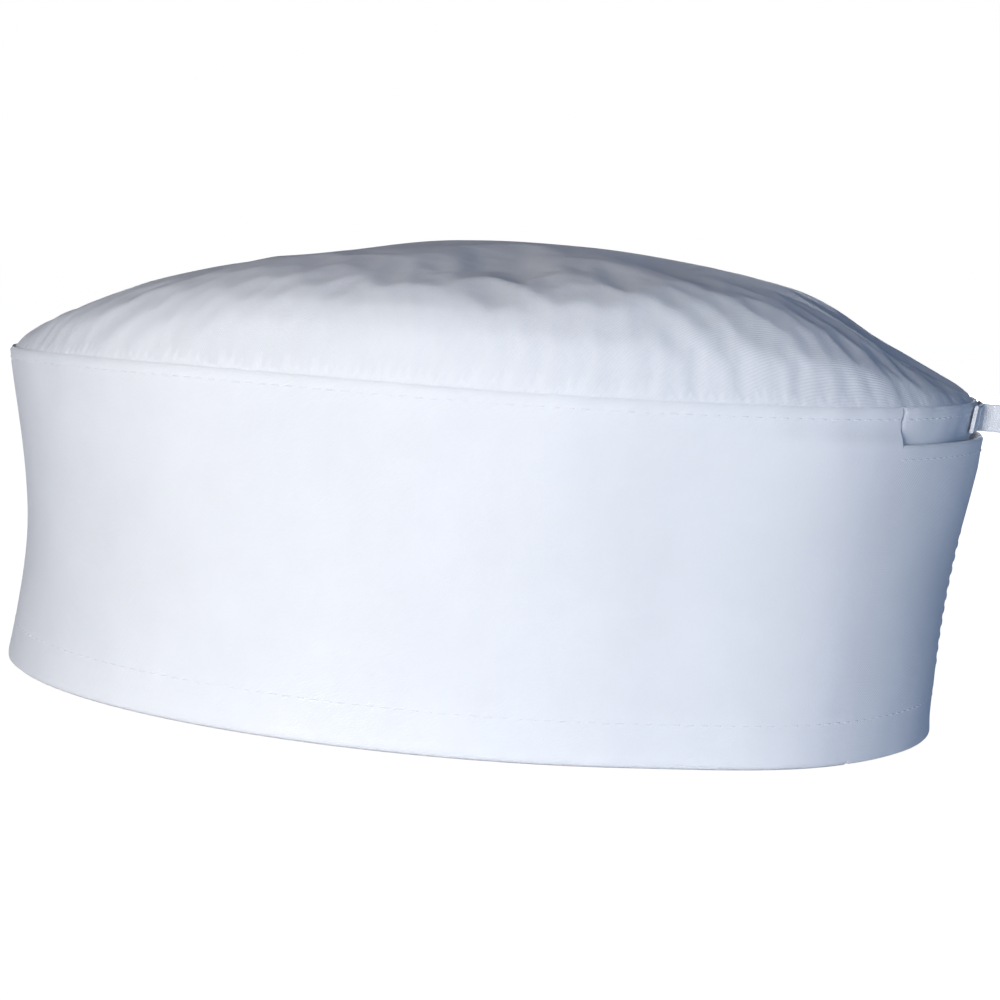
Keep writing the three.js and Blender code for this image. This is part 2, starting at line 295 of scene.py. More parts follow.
def ribbon(path, thickness, ends=4):
    """The closed outline of a ply of cloth whose middle follows a path, with rounded ends."""
    path = np.asarray(path, float)
    along = np.gradient(path, axis=0)
    along /= np.linalg.norm(along, axis=1)[:, None]
    side = np.stack([-along[:, 1], along[:, 0]], axis=1) * thickness / 2
    turns = np.radians(np.linspace(0, 180, ends + 2)[1:-1])[:, None]
    tip = path[-1] + np.cos(turns) * side[-1] + np.sin(turns) * along[-1] * thickness / 2
    tail = path[0] - np.cos(turns) * side[0] - np.sin(turns) * along[0] * thickness / 2
    return np.concatenate([path + side, tip, (path - side)[::-1], tail])


def sweep(name, angles, section, shift):
    """A closed strip: a closed outline in out and height, carried round the wall."""
    angles = np.asarray(angles, float)[:, None]
    outs, heights = section[:, 0][None, :], section[:, 1][None, :]
    points = wall(angles, heights + 0 * angles, outs + shift(angles, heights))
    rows, columns = points.shape[:2]
    faces = [face[::-1] for face in grid_faces(rows, columns, True)]
    faces.append(tuple(range(columns)))
    faces.append(tuple((rows - 1) * columns + j for j in range(columns))[::-1])
    around = np.concatenate([[0], np.cumsum(np.linalg.norm(np.diff(section, axis=0), axis=1))])
    uvs = np.stack(np.broadcast_arrays(arc(angles), around[None, :]), axis=-1)
    return make_object(name, points, faces, uvs)


RIM_STEP = 1.2 * MM  # between the points round a plate


def rounded_outline(half_width, half_height, radii, step):
    """Points round a rectangle with rounded corners, about its middle. radii is that of the corners
    at its high end and that of the corners at its low end."""
    corners = [(1, 1, 0), (-1, 1, 90), (-1, -1, 180), (1, -1, 270)]
    loop = []
    for sx, sy, start in corners:
        radius = min(radii[0] if sx > 0 else radii[1], half_width * 0.98, half_height * 0.98)
        centre = (sx * (half_width - radius), sy * (half_height - radius))
        loop += bow(centre, radius, start, start + 90, 7)
    loop.append(loop[0])
    return resample(loop, step)[:-1]


def plate(name, angles, heights, profile, shift, radii, rings=14, rooted=False):
    """A closed sheet with a rounded outline, laid on the wall. The profile is a list of (inset, out)
    from the outer face over the edge to the inner face; both faces then run in to the middle. The
    low end of a rooted sheet isn't inset."""
    middle_arc = (arc(angles[0]) + arc(angles[1])) / 2
    half = (arc(angles[1]) - arc(angles[0])) / 2
    middle_height, half_height = sum(heights) / 2, (heights[1] - heights[0]) / 2
    rim = rounded_outline(half, half_height, radii, RIM_STEP)
    count = len(rim)

    def inset_loop(inset):
        if rooted:
            x = rim[:, 0] - inset * (rim[:, 0] + half) / (2 * half)
        else:
            x = rim[:, 0] * (1 - inset / half)
        return np.stack([x, rim[:, 1] * (1 - inset / half_height)], axis=1)

    loops, outs = [], []
    for k in range(1, rings + 1):
        loops.append(inset_loop(profile[0][0]) * k / rings)
        outs.append(profile[0][1])
    for inset, out in profile[1:]:
        loops.append(inset_loop(inset))
        outs.append(out)
    for k in range(rings - 1, 0, -1):
        loops.append(inset_loop(profile[-1][0]) * k / rings)
        outs.append(profile[-1][1])
    flat = np.concatenate([[[0, 0]], np.concatenate(loops), [[0, 0]]])
    out = np.concatenate([[outs[0]], np.repeat(outs, count), [outs[-1]]])
    distance, height = middle_arc + flat[:, 0], middle_height + flat[:, 1]
    angle = angle_at(distance)
    points = wall(angle, height, out + shift(angle, height))
    faces = [tuple(1 + i for i in face) for face in grid_faces(len(loops), count, True)]
    last = 1 + (len(loops) - 1) * count
    end = len(points) - 1
    for j in range(count):
        k = (j + 1) % count
        faces.append((0, 1 + k, 1 + j))
        faces.append((end, last + j, last + k))
    return make_object(name, points, faces, np.stack([distance, height], axis=1))


def rounded_edge(outer, inner, count=5):
    """The profile of a plate whose edge is rounded over its whole thickness."""
    half = (outer - inner) / 2
    turns = np.radians(np.linspace(90, -90, count + 2))
    return [(half * (1 - math.cos(t)), inner + half + half * math.sin(t)) for t in turns]


STITCH_LENGTH = 2.3 * MM
STITCH_PITCH = 2.9 * MM
THREAD_RADIUS = 0.15 * MM
STITCH_SIDES = 6
STITCH_STEPS = 7


def stitch_row(path, outward, pitch, length, radius):
    """The rings of points of each stitch in a row along a path."""
    lengths = np.concatenate([[0], np.cumsum(np.linalg.norm(np.diff(path, axis=0), axis=1))])
    count = max(1, int(lengths[-1] / pitch))
    starts = (np.arange(count) + 0.5) * lengths[-1] / count - length / 2
    share = np.linspace(-1, 1, STITCH_STEPS)
    sides = np.radians(np.arange(STITCH_SIDES) * 360 / STITCH_SIDES)[None, :, None]
    girth = (radius * np.sqrt(np.clip(1.06 - share**4, 0.06, 1)))[:, None, None]
    for start in starts:
        at = start + (share + 1) / 2 * length
        line = np.stack([np.interp(at, lengths, path[:, k]) for k in range(3)], axis=1)
        normal = np.stack([np.interp(at, lengths, outward[:, k]) for k in range(3)], axis=1)
        normal /= np.linalg.norm(normal, axis=1)[:, None]
        line = line + normal * (radius * (0.75 - 1.7 * np.abs(share) ** 3))[:, None]
        along = np.gradient(line, axis=0)
        along /= np.linalg.norm(along, axis=1)[:, None]
        side = np.cross(normal, along)
        up = np.cross(along, side)
        round_it = np.cos(sides) * side[:, None, :] + 0.85 * np.sin(sides) * up[:, None, :]
        yield line[:, None, :] + girth * round_it


def stitches(name, rows, pitch=STITCH_PITCH, length=STITCH_LENGTH, radius=THREAD_RADIUS):
    """Rows of separate stitches. Each row is a path and the cloth's outward normal at its points."""
    one = grid_faces(STITCH_STEPS, STITCH_SIDES, True)
    one.append(tuple(range(STITCH_SIDES))[::-1])
    one.append(tuple((STITCH_STEPS - 1) * STITCH_SIDES + j for j in range(STITCH_SIDES)))
    points, faces = [], []
    for path, outward in rows:
        for rings in stitch_row(path, outward, pitch, length, radius):
            faces += [tuple(len(points) + i for i in face) for face in one]
            points.extend(rings.reshape(-1, 3))
    return make_object(name, points, faces)


def wall_normal(angle):
    turn = np.radians(angle)
    across, along = HALF_LENGTH * np.sin(turn), HALF_WIDTH * np.cos(turn)
    size = np.hypot(across, along)
    return np.stack([-across / size, along / size, 0 * across], axis=-1)


def wall_row(distances, heights, out, shift, inside=False):
    """The path of a stitch line on the wall, given by its distances round and its heights."""
    distances, heights = np.broadcast_arrays(np.asarray(distances, float), np.asarray(heights, float))
    line = resample(np.stack([distances, heights], axis=1), 0.7 * MM)
    angle = angle_at(line[:, 0])
    points = wall(angle, line[:, 1], out + shift(angle, line[:, 1]))
    return points, wall_normal(angle) * (-1 if inside else 1)


def frame_path(angles, heights, inset, radius, closed=True):
    """The distances and heights along a stitched rectangle, rounded at its high end. An open one
    leaves out its low end and starts right at it."""
    start = float(arc(angles[0])) + inset * closed
    end = float(arc(angles[1])) - inset - radius
    bottom, top = heights[0] + inset, heights[1] - inset
    path = [(start, bottom)] + bow((end, bottom + radius), radius, -90, 0, 6)
    path += bow((end, top - radius), radius, 0, 90, 6) + [(start, top)]
    if closed:
        path.append((start, bottom))
    return np.array(path).T


# ---------------------------------------------------------------- materials


class Nodes:
    """A material's node tree, with short calls for the nodes that the cloths share."""

    def __init__(self, name, color, roughness, sheen=0.0, sheen_roughness=0.4):
        self.material = bpy.data.materials.new(name)
        self.material.use_nodes = True
        self.tree = self.material.node_tree
        self.shader = self.tree.nodes["Principled BSDF"]
        self.shader.inputs["Base Color"].default_value = (*color, 1)
        self.shader.inputs["Roughness"].default_value = roughness
        self.shader.inputs["Sheen Weight"].default_value = sheen
        self.shader.inputs["Sheen Roughness"].default_value = sheen_roughness
        self.shader.inputs["Specular IOR Level"].default_value = 0.25
        self.color = color

    def node(self, kind, inputs=(), **settings):
        made = self.tree.nodes.new(kind)
        for key, value in settings.items():
            setattr(made, key, value)
        for key, value in dict(inputs).items():
            if isinstance(value, bpy.types.NodeSocket):
                self.tree.links.new(value, made.inputs[key])
            else:
                made.inputs[key].default_value = value
        return made

    def math(self, operation, a, b=0.0):
        return self.node("ShaderNodeMath", {0: a, 1: b}, operation=operation).outputs[0]

    def cloth_position(self):
        """The cloth's own coordinates, in metres along its two threads."""
        uv = self.node("ShaderNodeUVMap", uv_map="cloth").outputs["UV"]
        split = self.node("ShaderNodeSeparateXYZ", {0: uv})
        return split.outputs["X"], split.outputs["Y"]

    def place(self):
        return self.node("ShaderNodeTexCoord").outputs["Object"]

    def noise(self, vector, scale, detail=3.0, roughness=0.5):
        inputs = {"Vector": vector, "Scale": scale, "Detail": detail, "Roughness": roughness}
        return self.node("ShaderNodeTexNoise", inputs).outputs["Fac"]

    def ripple(self, value, pitch, phase=0.0):
        """A sine of a length in metres, between 0 and 1, that repeats every pitch."""
        turns = self.math("ADD", self.math("MULTIPLY", value, 2 * math.pi / pitch), phase)
        return self.math("MULTIPLY", self.math("ADD", self.math("SINE", turns), 1.0), 0.5)

    def tint(self, factor, dark, light):
        """Colours the cloth from a darker to a lighter shade of its own colour."""
        ramp = self.node("ShaderNodeMapRange", {0: factor, 1: 0.3, 2: 0.7, 3: 0.0, 4: 1.0}, clamp=True)
        shades = [tuple(c * k for c in self.color) + (1,) for k in (dark, light)]
        inputs = {0: ramp.outputs[0], 6: shades[0], 7: shades[1]}
        mix = self.node("ShaderNodeMix", inputs, data_type="RGBA")
        self.tree.links.new(mix.outputs[2], self.shader.inputs["Base Color"])

    def bump(self, *layers):
        """Adds relief. Each layer is a height from 0 to 1, and how high it stands in metres."""
        normal = None
        for height, size in layers:
            inputs = {"Height": height, "Distance": size, "Strength": 1.0}
            if normal is not None:
                inputs["Normal"] = normal
            normal = self.node("ShaderNodeBump", inputs).outputs["Normal"]
        self.tree.links.new(normal, self.shader.inputs["Normal"])


def twill_cloth(name, color, pitch=0.62 * MM, depth=0.035 * MM):
    n = Nodes(name, color, 0.82, sheen=0.12)
    u, v = n.cloth_position()
    ribs = n.ripple(n.math("ADD", u, n.math("MULTIPLY", v, 1.2)), pitch)
    threads = n.ripple(n.math("SUBTRACT", v, u), pitch * 0.55)
    fuzz = n.noise(n.place(), 2200.0, 2.0)
    slub = n.noise(n.place(), 45.0, 4.0, 0.55)
    weave = n.math("MULTIPLY", ribs, n.math("ADD", n.math("MULTIPLY", threads, 0.5), 0.6))
    n.tint(n.math("ADD", n.math("MULTIPLY", slub, 0.75), n.math("MULTIPLY", weave, 0.22)), 0.955, 1.015)
    n.bump((slub, 0.25 * MM), (weave, depth), (fuzz, 0.02 * MM))
    return n.material


def plain_cloth(name, color, pitch=0.5 * MM, depth=0.03 * MM, roughness=0.9, sheen=0.08):
    n = Nodes(name, color, roughness, sheen=sheen)
    u, v = n.cloth_position()
    over = n.math("MULTIPLY", n.ripple(u, pitch), n.ripple(v, pitch))
    under = n.math("MULTIPLY", n.ripple(u, pitch, math.pi), n.ripple(v, pitch, math.pi))
    weave = n.math("ADD", over, under)
    slub = n.noise(n.place(), 60.0, 4.0, 0.6)
    n.tint(slub, 0.94, 1.02)
    n.bump((slub, 0.25 * MM), (weave, depth))
    return n.material


def herringbone_tape(name, color, rib=0.55 * MM, row=2.5 * MM):
    n = Nodes(name, color, 0.78, sheen=0.1)
    u, v = n.cloth_position()
    zigzag = n.math("PINGPONG", v, row)
    weave = n.ripple(n.math("ADD", u, zigzag), rib)
    slub = n.noise(n.place(), 90.0, 4.0, 0.6)
    n.tint(slub, 0.93, 1.02)
    n.bump((weave, 0.05 * MM), (slub, 0.15 * MM))
    return n.material


def terry_cloth(name, color):
    n = Nodes(name, color, 0.95, sheen=0.3, sheen_roughness=0.6)
    place = n.place()
    cells = n.node("ShaderNodeTexVoronoi", {"Vector": place, "Scale": 850.0}, feature="F1")
    loops = cells.outputs["Distance"]
    tufts = n.noise(place, 350.0, 3.0, 0.6)
    n.tint(tufts, 0.86, 1.03)
    n.bump((n.math("SUBTRACT", 1.0, loops), 0.5 * MM), (tufts, 0.4 * MM))
    return n.material


def felt(name, color):
    n = Nodes(name, color, 0.95)
    place = n.place()
    fibres = n.noise(place, 900.0, 6.0, 0.7)
    blotches = n.noise(place, 120.0, 3.0)
    n.tint(blotches, 0.92, 1.03)
    n.bump((fibres, 0.12 * MM))
    return n.material


def spun_thread(name, color):
    n = Nodes(name, color, 0.55, sheen=0.15)
    twist = n.noise(n.place(), 2600.0, 2.0)
    n.tint(twist, 0.9, 1.03)
    n.bump((twist, 0.05 * MM))
    return n.material


def satin(name, color):
    n = Nodes(name, color, 0.34, sheen=0.1)
    u, v = n.cloth_position()
    floats = n.ripple(u, 0.22 * MM)
    slub = n.noise(n.place(), 150.0, 3.0)
    n.tint(slub, 0.97, 1.01)
    n.bump((floats, 0.012 * MM), (slub, 0.1 * MM))
    return n.material


FLOOR_GLOW = 0.8  # the share of an even white in what the camera sees of the floor
FLOOR_WHITE = 1.23  # and how strong that white is


def pale_floor(name, color):
    """A white floor. Most of what the camera sees of it is an even white, and the rest is its shading."""
    n = Nodes(name, color, 0.9)
    grain = n.noise(n.place(), 30.0, 2.0)
    n.tint(grain, 0.995, 1.0)
    seen = n.node("ShaderNodeLightPath").outputs["Is Camera Ray"]
    white = n.node("ShaderNodeEmission", {"Color": (1, 1, 1, 1), "Strength": FLOOR_WHITE}).outputs[0]
    inputs = {0: n.math("MULTIPLY", seen, FLOOR_GLOW), 1: n.shader.outputs[0], 2: white}
    surface = n.node("ShaderNodeMixShader", inputs).outputs[0]
    n.tree.links.new(surface, n.tree.nodes["Material Output"].inputs["Surface"])
    return n.material


WHITE = (0.80, 0.825, 0.865)
MATERIALS = {
    "shell_fabric": twill_cloth("shell_twill", WHITE),
    "lining_fabric": plain_cloth("lining_cotton", (0.76, 0.78, 0.81)),
    "interlining": felt("stiff_interlining", (0.72, 0.72, 0.70)),
    "sweatband_terry": terry_cloth("sweatband_towelling", (0.78, 0.78, 0.76)),
    "tape": herringbone_tape("herringbone_tape", (0.74, 0.77, 0.82)),
    "thread": spun_thread("spun_thread", (0.81, 0.83, 0.865)),
    "loop_pile": felt("fastener_loop_pile", (0.74, 0.76, 0.79)),
    "hook_tape": plain_cloth("fastener_hook_ground", (0.66, 0.69, 0.72), roughness=0.5),
    "label_satin": satin("label_satin", (0.88, 0.88, 0.86)),
}


def dress(piece, slot, *nodes):
    """Gives a piece its finish, and hides the CAD nodes that it stands for."""
    piece.data.materials.clear()
    piece.data.materials.append(MATERIALS[slot])
    if nodes:
        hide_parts(*nodes)
    return piece


# ---------------------------------------------------------------- camera, light and floor

CAMERA_DISTANCE = 0.594
CAMERA_SIDE = 101  # degrees from -Y towards +X
CAMERA_RISE = 5.8
CAMERA_ROLL = 4.3
CAMERA_LENS = 94.5
CAMERA_TARGET = Vector((0, CENTRE_Y + 6.7 * MM, 42.8 * MM))

# Each light's side and rise in degrees, its distance and size in metres, its power and its colour.
LIGHTS = {
    "key": (85, 3, 1.3, 0.4, 16.6, (1.0, 0.985, 0.965)),
    "front_fill": (20, 5, 1.6, 0.9, 0.6, (0.80, 0.88, 1.0)),
    "back_fill": (160, 3, 1.6, 0.9, 4.6, (0.16, 0.50, 1.0)),
    "far_fill": (268, 4, 1.6, 0.3, 17.0, (0.96, 0.98, 1.0)),
}
SKY_COLOR = (0.55, 0.64, 1.0, 1)
SKY_STRENGTH = 0.11
FLOOR_HALF_SIZE = 3.0
FLOOR_DROP = 0.3 * MM  # keeps the floor clear of the hem


def direction(side, rise):
    """The unit vector towards a point at an angle round from -Y towards +X, and a height angle."""
    s, r = math.radians(side), math.radians(rise)
    return Vector((math.sin(s) * math.cos(r), -math.cos(s) * math.cos(r), math.sin(r)))


def aim(thing, place, target, roll=0.0):
    turn = (place - target).to_track_quat("Z", "Y").to_matrix().to_4x4()
    thing.matrix_world = Matrix.Translation(place) @ turn @ Matrix.Rotation(math.radians(roll), 4, "Z")


def make_camera():
    data = bpy.data.cameras.new("camera")
    data.lens = CAMERA_LENS
    data.sensor_width = 36
    data.clip_start = 0.05
    data.shift_x, data.shift_y = 0.0, 0.0
    camera = bpy.data.objects.new("camera", data)
    bpy.context.scene.collection.objects.link(camera)
    place = CAMERA_TARGET + direction(CAMERA_SIDE, CAMERA_RISE) * CAMERA_DISTANCE
    aim(camera, place, CAMERA_TARGET, CAMERA_ROLL)
    bpy.context.scene.camera = camera


def area_light(name, side, rise, distance, size, power, color):
    data = bpy.data.lights.new(name, "AREA")
    data.shape, data.size = "DISK", size
    data.energy, data.color = power, color
    light = bpy.data.objects.new(name, data)
    bpy.context.scene.collection.objects.link(light)
    aim(light, CAMERA_TARGET + direction(side, rise) * distance, CAMERA_TARGET)


def make_floor():
    size = FLOOR_HALF_SIZE
    points = [(-size, -size, 0), (size, -size, 0), (size, size, 0), (-size, size, 0)]
    floor = make_object("floor", points, [(0, 1, 2, 3)])
    floor.location.z = -FLOOR_DROP
    floor.data.materials.append(pale_floor("floor_white", (0.95, 0.95, 0.955)))
    floor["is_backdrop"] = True


def make_world():
    """White to the camera, and a dimmer cool grey to everything that it lights."""
    world = bpy.data.worlds.new("studio")
    world.use_nodes = True
    tree = world.node_tree
    tree.nodes.clear()
    seen = tree.nodes.new("ShaderNodeBackground")
    seen.inputs["Color"].default_value = (1, 1, 1, 1)
    lit = tree.nodes.new("ShaderNodeBackground")
    lit.inputs["Color"].default_value = SKY_COLOR
    lit.inputs["Strength"].default_value = SKY_STRENGTH
    path = tree.nodes.new("ShaderNodeLightPath")
    mix = tree.nodes.new("ShaderNodeMixShader")
    output = tree.nodes.new("ShaderNodeOutputWorld")
    tree.links.new(path.outputs["Is Camera Ray"], mix.inputs[0])
    tree.links.new(lit.outputs[0], mix.inputs[1])
    tree.links.new(seen.outputs[0], mix.inputs[2])
    tree.links.new(mix.outputs[0], output.inputs["Surface"])
    bpy.context.scene.world = world


def make_studio():
    bpy.context.scene.view_settings.view_transform = "Standard"
    make_world()
    make_floor()
    for name, light in LIGHTS.items():
        area_light(name, *light)


# ---------------------------------------------------------------- the band

FINE = 0.5  # degrees between the points round the band
ROOT_ANGLES = np.arange(UNDERLAP_END, 360 + TAB_ROOT + FINE / 2, FINE)
BAND_ARC = float(arc(ROOT_ANGLES[-1]) - arc(ROOT_ANGLES[0]))
FOLD_RADIUS = 0.7 * MM  # of the fold along the top edge
TURNED_OUT = -0.45 * MM  # the out of the cloth that is turned up inside at the hem
STIFFENER_HEIGHTS = (2.6 * MM, 71 * MM)
FACING_HEIGHTS = (6 * MM, 71.5 * MM)


def band_shell():
    """The outer fabric: turned in at the top for the seam, and turned up inside at the hem."""
    middle = sum(SHELL) / 2
    ply = SHELL[1] - SHELL[0]
    hem_radius = (middle - TURNED_OUT) / 2
    top = [(middle - 2 * FOLD_RADIUS, BAND_HEIGHT - 5 * MM)]
    top += bow((middle - FOLD_RADIUS, BAND_HEIGHT - ply / 2 - FOLD_RADIUS), FOLD_RADIUS, 180, 0)
    bottom = bow((middle - hem_radius, hem_radius + ply / 2), hem_radius, 0, -180, 13)
    path = resample(top + bottom + [(TURNED_OUT, HEM_TURN)], 0.9 * MM)
    piece = sweep("band_shell", ROOT_ANGLES, ribbon(path, ply), root_shift)
    dress(piece, "shell_fabric", "band_outer")
    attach(piece, "cap")


def band_layer(name, slot, node, ply, heights, held_on):
    """A layer inside the fold of the outer fabric."""
    low, high = heights
    middle = (ply[0] + ply[1]) / 2
    path = resample([(middle, high), (middle, low)], 1.5 * MM)
    piece = sweep(name, ROOT_ANGLES[1:], ribbon(path, ply[1] - ply[0]), root_shift)
    dress(piece, slot, node)
    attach(piece, "cap")
    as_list(held_on)


def band_layers():
    slots = ("interlining", "band_interlining")
    band_layer("band_stiffener", *slots, STIFFENER, STIFFENER_HEIGHTS, "band_shell")
    slots = ("lining_fabric", "band_lining")
    band_layer("band_facing", *slots, LINING, FACING_HEIGHTS, "band_stiffener")


def band_stitching():
    ends = [float(arc(UNDERLAP_END + 1)), float(arc(360 + TAB_ROOT))]
    upright = float(arc(UNDERLAP_END + 1.5))
    lines = {
        "hem": (ends, HEM_LINE),
        "seam": (ends, SEAM_LINE),
        "underlap": (upright, [HEM_LINE + 2 * MM, SEAM_LINE - 2 * MM]),
    }
    for name, (distances, heights) in lines.items():
        piece = stitches(name + "_stitches", [wall_row(distances, heights, FACE, root_shift)])
        dress(piece, "thread", name + "_stitching")
        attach(piece, "cap")


# ---------------------------------------------------------------- the crown

CROWN_SPACING = 2.3 * MM
CROWN_START_RISE = CROWN_TOP - BAND_HEIGHT - 4.9 * MM  # before the spare cloth lifts it
SIDE_PUFF = 0.75  # the share of that rise that comes right at the crown's edge, on the left and right
MIDDLE_PUFF = 0.5  # the same share, near the crown's middle
BACK_PUFF = 0.06  # and how much more of it there is where the sides turn into the back
BACK_FULLNESS = 2.2 * MM  # how much higher the crown is between its middle and its back edge
FRONT_SLACK = 5 * MM  # and how much lower towards its front edge
START_BUMPS = 0.5 * MM  # unevenness of the dome, which the gathers start from
RIM_DEPTH = 0.9 * MM  # how far the crown's edge is tucked below the band's top fold
RIM_OUT = 1.2 * MM
GATHER = (0.018, 0.12)  # spare cloth in the middle of the crown and at its edge, as a share
CROWN_PRESSURE = 0.6
CROWN_FRAMES = 40


def crown_step_out(angle):
    """The crown's edge follows the band's outer end outwards, then comes back in over the tab."""
    angle = (np.asarray(angle, float) + 180) % 360 - 180
    stepped = step_out(angle + 360, BAND_HEIGHT) * (1 - smoothstep(angle, TAB_ROOT, TAB_ROOT + 5))
    return np.maximum(stepped, top_fill(angle, BAND_HEIGHT))


def rim_point(angle):
    return wall(angle, BAND_HEIGHT - RIM_DEPTH, RIM_OUT + crown_step_out(angle))


def crown_cut():
    """An oval of the crown's outline, covered with even triangles: its points and faces, and each
    point's share of the way out to the edge and angle round it."""
    long, wide = HALF_LENGTH + FLARE, HALF_WIDTH + FLARE
    turns = np.linspace(0, 2 * np.pi, int(2 * np.pi * long / (0.9 * CROWN_SPACING)) + 1)[:-1]
    points = [Vector((wide * math.sin(t), long * math.cos(t))) for t in turns]
    inner = 1 - 0.8 * CROWN_SPACING / wide
    row = CROWN_SPACING * math.sqrt(3) / 2
    for i in range(int(-long / row), int(long / row) + 1):
        for j in range(int(-wide / CROWN_SPACING) - 1, int(wide / CROWN_SPACING) + 2):
            x, y = (j + 0.5 * (i % 2)) * CROWN_SPACING, i * row
            if (x / wide) ** 2 + (y / long) ** 2 < inner**2:
                points.append(Vector((x, y)))
    flat, _, faces, *_ = delaunay_2d_cdt(points, [], [], 0, 1e-7)
    flat = np.array([tuple(p) for p in flat])
    share = np.hypot(flat[:, 0] / wide, flat[:, 1] / long)
    angle = np.degrees(np.arctan2(-flat[:, 0] / wide, flat[:, 1] / long))
    return flat, [tuple(f) for f in faces], share, angle


def crown_start(share, angle):
    """The crown as a plain dome, before it settles."""
    rim = rim_point(angle)
    middle = np.array([0, CENTRE_Y + LEAN])
    plan = middle + (rim[:, :2] - middle) * share[:, None]
    bumps = wave_noise(plan[:, 0], plan[:, 1], 20 * MM, 5.5)
    backwards = np.cos(np.radians(angle))
    lift = np.where(backwards > 0, BACK_FULLNESS, FRONT_SLACK) * backwards * np.sin(np.pi * share)
    corner = np.where(backwards > 0, 4 * backwards**2 * (1 - backwards**2), 0)
    puff = SIDE_PUFF * (1 - backwards**4) + BACK_PUFF * corner
    puff = MIDDLE_PUFF + (puff - MIDDLE_PUFF) * smoothstep(share, 0.0, 0.6)
    dome = (1 - puff) * (1 - share**2) + puff * (1 - share**12)
    level = BAND_HEIGHT - RIM_DEPTH
    edge = level + (rim[:, 2] - level) * smoothstep(share, 0, 1)
    height = edge + CROWN_START_RISE * dome + lift * share**0.5 + START_BUMPS * bumps * (1 - share)
    return np.column_stack([plan, height])


def point_group(piece, name, weights):
    group = piece.vertex_groups.new(name=name)
    for i in np.flatnonzero(weights > 0):
        group.add([int(i)], float(weights[i]), "REPLACE")
    return name


def settle_crown(piece, share):
    """Gives the dome spare cloth, most of it at its edge, and lets it buckle into gathers while a
    little pressure from inside holds it up."""
    scene = bpy.context.scene
    cloth = piece.modifiers.new("cloth", "CLOTH")
    settings = cloth.settings
    settings.vertex_group_mass = point_group(piece, "edge", (share > 0.9999).astype(float))
    settings.vertex_group_shrink = point_group(piece, "gather", smoothstep(share, 0.3, 1.0))
    settings.shrink_min, settings.shrink_max = -GATHER[0], -GATHER[1]
    settings.quality = 8
    settings.mass = 0.15
    settings.tension_stiffness = 20
    settings.compression_stiffness = 12
    settings.shear_stiffness = 5
    settings.bending_stiffness = 0.12
    settings.tension_damping = settings.compression_damping = 8
    settings.shear_damping = 5
    settings.bending_damping = 0.5
    settings.use_pressure = True
    settings.uniform_pressure_force = CROWN_PRESSURE
    settings.effector_weights.gravity = 0
    cloth.collision_settings.use_self_collision = False
    cloth.collision_settings.use_collision = False
    cloth.point_cache.frame_end = CROWN_FRAMES
    for step in range(1, CROWN_FRAMES + 1):
        scene.frame_set(step)
    settled = piece.evaluated_get(bpy.context.evaluated_depsgraph_get())
    points = np.zeros(len(piece.data.vertices) * 3)
    settled.data.vertices.foreach_get("co", points)
    piece.modifiers.remove(cloth)
    piece.vertex_groups.clear()
    piece.data.vertices.foreach_set("co", points)
    scene.frame_set(1)


def crown():
    """The gathered top, with the thickness of one ply."""
    flat, faces, share, angle = crown_cut()
    piece = make_object("crown_cloth", crown_start(share, angle), faces, flat * (1 + GATHER[1]))
    settle_crown(piece, share)
    smooth = piece.modifiers.new("fine", "SUBSURF")
    smooth.levels = smooth.render_levels = 1
    thick = piece.modifiers.new("ply", "SOLIDIFY")
    thick.thickness = SHELL[1] - SHELL[0]
    thick.offset = -1
    dress(piece, "shell_fabric", "crown_panel")
    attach(piece, "cap")


# ---------------------------------------------------------------- the closure

TAB_CORNER = 5 * MM
TURNED_EDGE = 8 * MM
LOOP_PATCH = (-16, 18)  # the angles between which each patch lies
HOOK_PATCH = (1.5, 18)
PATCH_INSET = 2 * MM
LOOP_PILE = (FACE + 0.1 * MM, FACE + 0.9 * MM)
HOOK_GROUND = (-0.45 * MM, -0.05 * MM)

# One nylon hook: how far it stands in, how far it curls over and how thick it is, from its root on.
HOOK_RISE = [0.0, 0.25 * MM, 0.42 * MM, 0.5 * MM, 0.4 * MM]
HOOK_CURL = [0.0, 0.02 * MM, 0.1 * MM, 0.26 * MM, 0.38 * MM]
HOOK_GIRTH = [0.13 * MM, 0.11 * MM, 0.1 * MM, 0.09 * MM, 0.06 * MM]
HOOK_SPACING = (1.25 * MM, 1.05 * MM)  # round the band and up it
HOOK_MARGIN = 2.8 * MM


def inset_edge(outer, inner, inset):
    return [(inset + i, out) for i, out in rounded_edge(outer, inner, 3)]


def bend_at_root(piece):
    """Bakes the piece's placement into its points. The tab's root and a point just past it round the band
    are worked out but not used.
    """
    middle = (TAB_BOTTOM + TAB_TOP) / 2
    root, ahead = (Vector(wall(TAB_ROOT + step, middle, LAP + FACE)) for step in (0, 0.5))
    tuple(root)
    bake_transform(piece)


def tab_sheet(name, slot, node, profile):
    span, heights = (TAB_ROOT, TAB_END), (TAB_BOTTOM, TAB_TOP)
    radii = (TAB_CORNER, 0.1 * MM)
    piece = plate(name, span, heights, profile, tab_shift, radii, rings=22, rooted=True)
    dress(piece, slot, node)
    bend_at_root(piece)
    inset = profile[0][0]
    flat = (heights[1] - heights[0] - 2 * inset, float(arc(TAB_END) - arc(TAB_ROOT)) - inset)


def tab_cloths():
    turned, under = 0.45 * MM, 1.2 * MM  # the outs of the turned-in edge and of the cloth behind it
    edge = rounded_edge(FACE, turned)
    hollow = [(TURNED_EDGE, turned), (TURNED_EDGE + 0.3 * MM, under)]
    tab_sheet("tab_shell", "shell_fabric", "tab_outer", edge + hollow)
    stiffener = inset_edge(STIFFENER[1], STIFFENER[0], TURNED_EDGE + 0.6 * MM)
    tab_sheet("tab_stiffener", "interlining", "tab_interlining", stiffener)
    facing = inset_edge(LINING[1], LINING[0], 1.8 * MM)
    tab_sheet("tab_facing", "lining_fabric", "tab_lining", facing)


